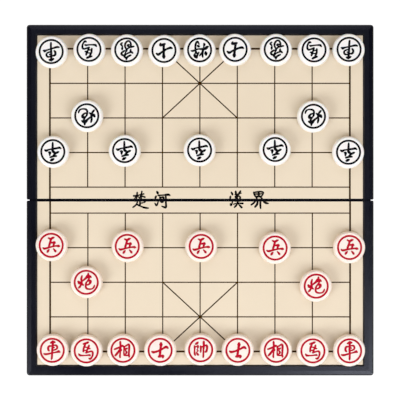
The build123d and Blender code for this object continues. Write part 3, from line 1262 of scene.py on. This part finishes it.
@dataclass(frozen=True)
class Men:
    """All the men of both armies, each where its solid stands."""

    pattern: Chessman = Chessman()
    # How far each man was put down askew, in degrees counter-clockwise
    askew: tuple[tuple[str, float], ...] = (
        ("red_soldier_1", 0.9), ("red_soldier_3", 1.7), ("red_soldier_5", -2.5),
        ("red_chariot_left", -2.5), ("red_chariot_right", 1.0), ("red_horse_left", -1.5),
        ("red_advisor_left", -3.0), ("red_advisor_right", -5.5), ("red_cannon_right", -1.0),
        ("black_soldier_1", -0.5), ("black_soldier_2", 0.6), ("black_soldier_3", 1.2),
        ("black_soldier_4", 1.2), ("black_soldier_5", -2.4), ("black_chariot_left", 3.0),
        ("black_chariot_right", -2.0), ("black_horse_left", -2.0), ("black_horse_right", 1.5),
        ("black_advisor_left", 3.5), ("black_advisor_right", -3.5),
    )

    @staticmethod
    def character(army: Army, man: str) -> Character:
        """Says what a man bears.

        Args:
            army: Its army.
            man: Its name in its army.

        Returns:
            Its character.
        """
        red = army is Army.RED
        return {
            "soldier": Character.RED_SOLDIER if red else Character.BLACK_SOLDIER,
            "cannon": Character.CANNON,
            "chariot": Character.CHARIOT,
            "horse": Character.HORSE,
            "elephant": Character.MINISTER if red else Character.ELEPHANT,
            "advisor": Character.ADVISOR,
            "general": Character.RED_GENERAL if red else Character.BLACK_GENERAL,
        }[man.split("_")[0]]

    def build(self, nodes: Sequence[str], materials: dict[Army, list[bpy.types.Material]]) -> None:
        """Builds every man and stands it where its solid is.

        Args:
            nodes: The names of all solids.
            materials: The plastic and the groove paint of each army.
        """
        askew = dict(self.askew)
        drafts: dict[Character, Draft] = {}
        for army in Army:
            for node in sorted(n for n in nodes if n.startswith(army.prefix + "_")):
                character = self.character(army, node.removeprefix(army.prefix + "_"))
                if character not in drafts:
                    drafts[character] = self.pattern.draft(character)
                man = drafts[character].build(f"{node}_engraved", materials[army])
                low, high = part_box(node)
                man.location = ((low.x + high.x) / 2, (low.y + high.y) / 2, low.z)
                man.rotation_euler.z = army.value + radians(askew.get(node, 0.0))
                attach(man, node)
                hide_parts(node)
                log.info("%s: %d faces", man.name, len(man.data.polygons))


# ---------------------------------------------------------------- carried-over solids


@dataclass(frozen=True)
class Casework:
    """The solids that keep their own shape, and the hidden ones that the sheets and men replace."""

    shell: Finish = MouldedPlastic("moulded_plastic")
    link: Finish = MouldedPlastic("link_plastic", roughness=0.38, ripple=Pattern(7.0 * MM))
    plate: Finish = Metal("rolled_steel", colour=(0.42, 0.42, 0.43), roughness=0.36)
    pin: Finish = Metal("drawn_steel", colour=(0.56, 0.56, 0.57), roughness=0.22)
    magnet: Finish = Metal("nickel_plating", (0.62, 0.59, 0.54), line_length=1.0, roughness=0.14)
    board: Finish = PrintedSheet("hidden_sheet")
    man: Finish = ChessmanPlastic("hidden_man")

    def dress(self, nodes: dict[str, bpy.types.Object]) -> None:
        """Gives every solid its finish.

        Args:
            nodes: The solids by name.
        """
        endings = {
            "shell": self.shell,
            "link_left": self.link,
            "link_right": self.link,
            "steel_plate": self.plate,
            "hinge_pins": self.pin,
            "closing_magnets": self.magnet,
            "board_sheet": self.board,
        }
        finishes = dict.fromkeys([*endings.values(), self.man])
        made = {finish.name: finish.material() for finish in finishes}
        for name, solid in nodes.items():
            finish = next((f for ending, f in endings.items() if name.endswith(ending)), self.man)
            solid.data.materials.clear()
            solid.data.materials.append(made[finish.name])
            log.info("%s: %s", name, finish.name)


# ---------------------------------------------------------------- studio


@dataclass(frozen=True)
class Softbox:
    """A soft square light, turned towards the middle of the board."""

    name: str
    place: Place
    size: float
    watts: float
    tint: Colour = (0.93, 0.98, 1.18)

    def build(self) -> None:
        """Builds the light in place."""
        data = bpy.data.lights.new(self.name, "AREA")
        data.shape = "SQUARE"
        data.size = self.size
        data.energy = self.watts
        data.color = self.tint
        made = add_object(self.name, data)
        made.location = self.place
        made.rotation_euler = (-Vector(self.place)).to_track_quat("-Z", "Y").to_euler()


@dataclass(frozen=True)
class Studio:
    """The floor, the light and the camera."""

    camera_place: Place = (-0.0001, 0.0001, 1.3686)
    half_view: float = 0.13662  # half the picture's width at a distance of 1
    farthest_seen: float = 100.0
    floor_half: float = 60.0
    floor_level: float = -0.165  # a half that hangs from the fold stays above it
    flag_half: tuple[float, float] = (0.1595, 0.0012)
    flag_level: float = -0.0001
    paper_glow: float = 1.1
    softboxes: tuple[Softbox, ...] = (
        Softbox("left_softbox", (-1.20, -1.05, 1.12), 0.90, 19.2, tint=(0.93, 1.0, 1.10)),
        Softbox("right_softbox", (1.20, -1.05, 1.12), 0.90, 11.8, tint=(0.93, 1.0, 1.10)),
        Softbox("right_card", (0.58, -0.64, 1.35), 0.60, 5.4),
        Softbox("left_card", (-0.60, -0.46, 1.30), 0.40, 0.8),
        Softbox("back_card", (0.0, 1.10, 1.30), 0.80, 2.8),
        Softbox("far_card", (0.0, 0.62, 2.40), 1.00, 0.9),
        Softbox("steep_card", (0.26, -0.42, 1.60), 0.44, 0.85),
    )
    # By height: 0 is the horizon and all below it, and 1 is straight overhead
    ceiling: tuple[tuple[float, Colour], ...] = (
        (0.0, WHITE), (0.04, WHITE), (0.08, (0.30, 0.28, 0.25)), (0.3, (0.66, 0.585, 0.465)),
        (0.55, (0.66, 0.585, 0.465)), (0.72, (1.02, 0.90, 0.715)), (0.85, BLACK),
    )

    def build(self) -> None:
        """Sets the studio up. A black flag under the fold keeps the floor's light out of it."""
        white, black = StagePaper("white_paper", self.paper_glow), StagePaper("black_paper")
        self._lay("floor", (self.floor_half, self.floor_half), self.floor_level, white)
        self._lay("fold_flag", self.flag_half, self.flag_level, black)
        for softbox in self.softboxes:
            softbox.build()
        self._sky()
        self._camera()

    @staticmethod
    def _lay(name: str, half: tuple[float, float], level: float, finish: Finish) -> None:
        """Lays a level sheet for the studio.

        Args:
            name: Its name.
            half: Half its width and half its depth.
            level: How high it lies.
            finish: What it is made of.
        """
        x, y = half
        corners = [(-x, -y, level), (x, -y, level), (x, y, level), (-x, y, level)]
        mesh = bpy.data.meshes.new(name)
        mesh.from_pydata(corners, [], [(0, 1, 2, 3)])
        mesh.materials.append(finish.material())
        sheet = add_object(name, mesh)

    def _sky(self) -> None:
        """Makes a white room whose ceiling is dark over the board. The camera sees it all white."""
        world = bpy.data.worlds.new("room")
        world.use_nodes = True
        bench = Bench(world.node_tree)
        direction = bench.node("ShaderNodeTexCoord").outputs["Generated"]
        up = bench.node("ShaderNodeSeparateXYZ", None, {0: direction}).outputs["Z"]
        ramp = bench.node("ShaderNodeValToRGB", {"stops": self.ceiling}, {0: up})
        lit = {"Color": ramp.outputs[0], "Strength": 1.0}
        seen = {"Color": (*WHITE, 1.0), "Strength": self.paper_glow}
        light, white = (bench.node("ShaderNodeBackground", None, each) for each in (lit, seen))
        mix = {
            0: bench.node("ShaderNodeLightPath").outputs["Is Camera Ray"],
            1: light.outputs[0],
            2: white.outputs[0],
        }
        room = bench.node("ShaderNodeMixShader", None, mix)
        bench.node("ShaderNodeOutputWorld", None, {"Surface": room.outputs[0]})
        bpy.context.scene.world = world

    def _camera(self) -> None:
        """Hangs the camera straight over the board."""
        data = bpy.data.cameras.new("camera")
        data.lens = data.sensor_width / (2 * self.half_view)
        data.clip_end = self.farthest_seen
        camera = add_object("camera", data)
        camera.location = self.camera_place
        bpy.context.scene.camera = camera


def main() -> None:
    """Builds the scene round the frame, piece by piece."""
    logging.basicConfig(level=logging.INFO, format="%(name)s %(message)s")
    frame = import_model()
    bpy.context.scene.view_settings.view_transform = "Standard"

    sheet = (
        PrintedSheet("printed_sheet"),
        PrintedSheet("line_ink", (0.030, 0.012, 0.0), (0.040, 0.017, 0.001), shine=0.06),
        # The word ink also paints the shade along the fold
        PrintedSheet("word_ink", (0.002, 0.001, 0.001), (0.005, 0.003, 0.002), shine=0.06),
    )
    men = {
        Army.RED: (
            ChessmanPlastic("warm_chessman_plastic", (0.855, 0.748, 0.670), (0.885, 0.778, 0.700)),
            GroovePaint("red_paint", (0.43, 0.0, 0.015), (0.53, 0.004, 0.026)),
        ),
        Army.BLACK: (ChessmanPlastic("chessman_plastic"), GroovePaint("black_paint")),
    }

    Casework().dress(frame["nodes"])
    printed = [finish.material() for finish in sheet]
    BoardSheet(Half.FAR, shift_mm=-0.2).build(printed)
    BoardSheet(Half.NEAR).build(printed)
    moulded = {army: [finish.material() for finish in pair] for army, pair in men.items()}
    Men().build(list(frame["nodes"]), moulded)
    Studio().build()


if __name__ == "__main__":
    main()
